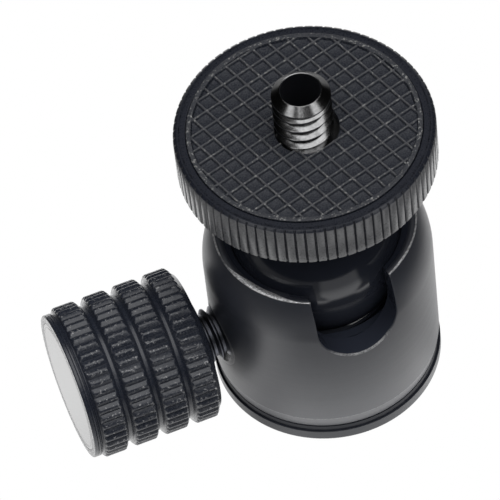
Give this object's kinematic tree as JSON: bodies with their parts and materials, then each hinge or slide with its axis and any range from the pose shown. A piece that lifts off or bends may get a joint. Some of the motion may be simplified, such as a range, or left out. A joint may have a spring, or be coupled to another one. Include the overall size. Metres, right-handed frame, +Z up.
{
  "type": "tripod ball head",
  "caption": "Mini tripod ball head: turned housing with a drop notch, knurled clamp knob on a side screw, ball and neck, round knurled platform with a ridged pad and a 1/4 inch stud.",
  "frame": {"origin": "centre of the base's underside, where the tripod's screw enters", "axes": "+Z up along the housing and the camera stud, -X out along the clamp knob, -Y out of the drop notch"},
  "size_m": [0.0441, 0.028, 0.0464],
  "materials": {
    "satin_black_aluminium": "satin black anodised",
    "gloss_black_aluminium": "polished black anodised",
    "knob_black_aluminium": "black anodised knurl",
    "cap_aluminium": "smooth black anodised face",
    "rubber": "matt rubber with a ridged grid",
    "dark_steel": "blackened steel thread",
    "steel": "bright steel",
    "spring_steel": "spring steel",
    "brass": "turned brass",
    "black_plastic": "low-friction black plastic"
  },
  "bodies": {
    "housing": {"housing": "satin_black_aluminium", "base_disc": "satin_black_aluminium", "base_thread_insert": "steel", "guide_pins": "steel", "curved_washer": "spring_steel", "upper_liner": "black_plastic"},
    "pressure_ring": {"pressure_ring": "satin_black_aluminium"},
    "friction_bowl": {"friction_bowl": "black_plastic"},
    "ball": {"ball": "gloss_black_aluminium", "neck_washer": "black_plastic"},
    "platform": {"platform_disc": "satin_black_aluminium", "platform_pad": "rubber", "camera_stud": "dark_steel"},
    "plunger": {"clamp_plunger": "brass", "thrust_ball": "steel"},
    "knob": {"clamp_screw": "dark_steel", "knob_grip": "knob_black_aluminium", "knob_end_cap": "cap_aluminium", "knob_fixing_screw": "steel", "knob_lock_washer": "spring_steel"}
  },
  "joints": [
    {"name": "ring_drop", "type": "slide", "parent": "housing", "child": "pressure_ring", "axis": [0, 0, -1], "range_m": [0, 0.00028], "deforming": ["curved_washer"]},
    {"name": "ball_lean", "type": "hinge", "parent": "housing", "child": "friction_bowl", "pos_m": [0, 0, 0.0195], "axis": [0, 1, 0], "range_deg": [-35, 35]},
    {"name": "ball_fold", "type": "hinge", "parent": "friction_bowl", "child": "ball", "pos_m": [0, 0, 0.0195], "axis": [1, 0, 0], "range_deg": [-35, 90]},
    {"name": "platform_spin", "type": "hinge", "parent": "ball", "child": "platform", "pos_m": [0, 0, 0.0343], "axis": [0, 0, 1], "continuous": true},
    {"name": "plunger_slide", "type": "slide", "parent": "housing", "child": "plunger", "axis": [-1, 0, 0], "range_m": [0, 0.0015]},
    {"name": "knob_turn", "type": "hinge", "parent": "plunger", "child": "knob", "pos_m": [-0.015, 0, 0.01005], "axis": [-1, 0, 0], "range_deg": [0, 541]}
  ],
  "couplings": [
    {"joint": "knob_turn", "follows": "plunger_slide", "rad_per_m": 6283.2},
    {"joint": "ring_drop", "follows": "plunger_slide", "ratio": 0.17633}
  ]
}
